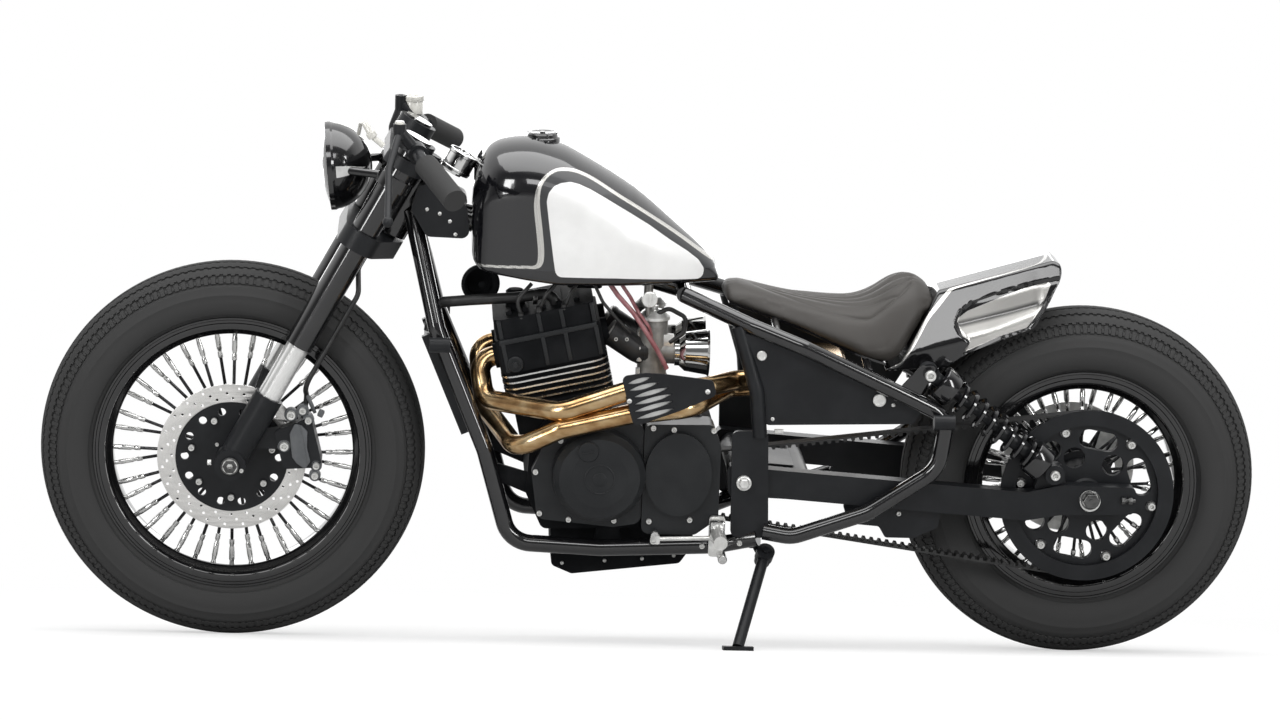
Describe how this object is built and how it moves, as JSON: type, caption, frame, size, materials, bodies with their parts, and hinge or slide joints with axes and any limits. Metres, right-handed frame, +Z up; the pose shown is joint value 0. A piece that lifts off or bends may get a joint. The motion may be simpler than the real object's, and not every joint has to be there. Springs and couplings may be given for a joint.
{
  "type": "custom bobber motorcycle",
  "caption": "Low solo motorcycle leaning on its side stand, with a teardrop tank, wire wheels with fat tyres, twin engine, belt drive and short upswept tail.",
  "frame": {"origin": "on the floor, at the middle of the parked machine's bounding box", "axes": "+X forward along the wheelbase, +Y to the machine's left, the side it leans to, +Z up from the floor"},
  "size_m": [2.1533, 0.7236, 0.9657],
  "materials": {
    "tyre_rubber": "matte black rubber",
    "gloss_black": "gloss black paint; the tank also has silver panels",
    "bright_spokes": "polished nipples on dark spokes",
    "satin_black": "satin black paint over castings",
    "brushed_disc": "brushed friction ring",
    "chrome": "polished",
    "plain_steel": "plain steel",
    "grip_rubber": "black rubber",
    "lens_glass": "clear lens",
    "cast_grey": "cast grey",
    "bronze_pipe": "gold-bronze heat tint",
    "seat_leather": "soft black-brown leather with pleats"
  },
  "bodies": {
    "frame": {"frame_spine": "gloss_black", "cradle_tubes": "gloss_black", "pivot_plates": "gloss_black", "rear_loops": "gloss_black", "swingarm": "satin_black", "rear_axle": "plain_steel", "rear_caliper": "satin_black", "shocks": "satin_black", "shock_springs": "satin_black", "drive_belt": "grip_rubber", "crankcase": "satin_black", "engine_covers": "satin_black", "barrels": "satin_black", "cylinder_head": "satin_black", "carburettors": "cast_grey", "velocity_stacks": "chrome", "radiator": "satin_black", "coolant_hose": "grip_rubber", "exhaust": "bronze_pipe", "heat_shield": "satin_black", "fuel_tank": "gloss_black", "seat": "seat_leather", "tail": "gloss_black", "side_covers": "satin_black", "foot_controls": "satin_black", "indicators": "satin_black"},
    "fork": {"fork_feet": "satin_black", "fork_inner_tubes": "chrome", "fork_outer_tubes": "gloss_black", "yokes": "satin_black", "front_axle": "plain_steel", "front_caliper": "satin_black", "brake_hose": "grip_rubber", "clip_on_bars": "satin_black", "grips": "grip_rubber", "hand_controls": "satin_black", "gauge": "chrome", "lamp_shell": "satin_black", "lamp_lens": "lens_glass"},
    "front_wheel": {"front_tyre": "tyre_rubber", "front_rim": "gloss_black", "front_spokes": "bright_spokes", "front_hub": "satin_black", "front_brake_disc": "brushed_disc"},
    "rear_wheel": {"rear_tyre": "tyre_rubber", "rear_rim": "gloss_black", "rear_spokes": "bright_spokes", "rear_hub": "satin_black", "rear_brake_disc": "brushed_disc", "rear_pulley": "satin_black"},
    "side_stand": {"side_stand": "plain_steel"}
  },
  "joints": [
    {"name": "steering", "type": "hinge", "parent": "frame", "child": "fork", "pos_m": [0.44283, 0.02853, 0.76814], "axis": [-0.4756, 0.2188, 0.852], "range_deg": [-30, 30]},
    {"name": "front_wheel_spin", "type": "hinge", "parent": "fork", "child": "front_wheel", "pos_m": [0.73925, -0.08428, 0.32878], "axis": [0, 0.9686, -0.2487], "continuous": true},
    {"name": "rear_wheel_spin", "type": "hinge", "parent": "frame", "child": "rear_wheel", "pos_m": [-0.76075, -0.08954, 0.3083], "axis": [0, 0.9686, -0.2487], "continuous": true},
    {"name": "side_stand_fold", "type": "hinge", "parent": "frame", "child": "side_stand", "pos_m": [-0.19575, 0.01789, 0.16374], "axis": [-0.1117, 0.8372, 0.5354], "range_deg": [0, 95]}
  ]
}
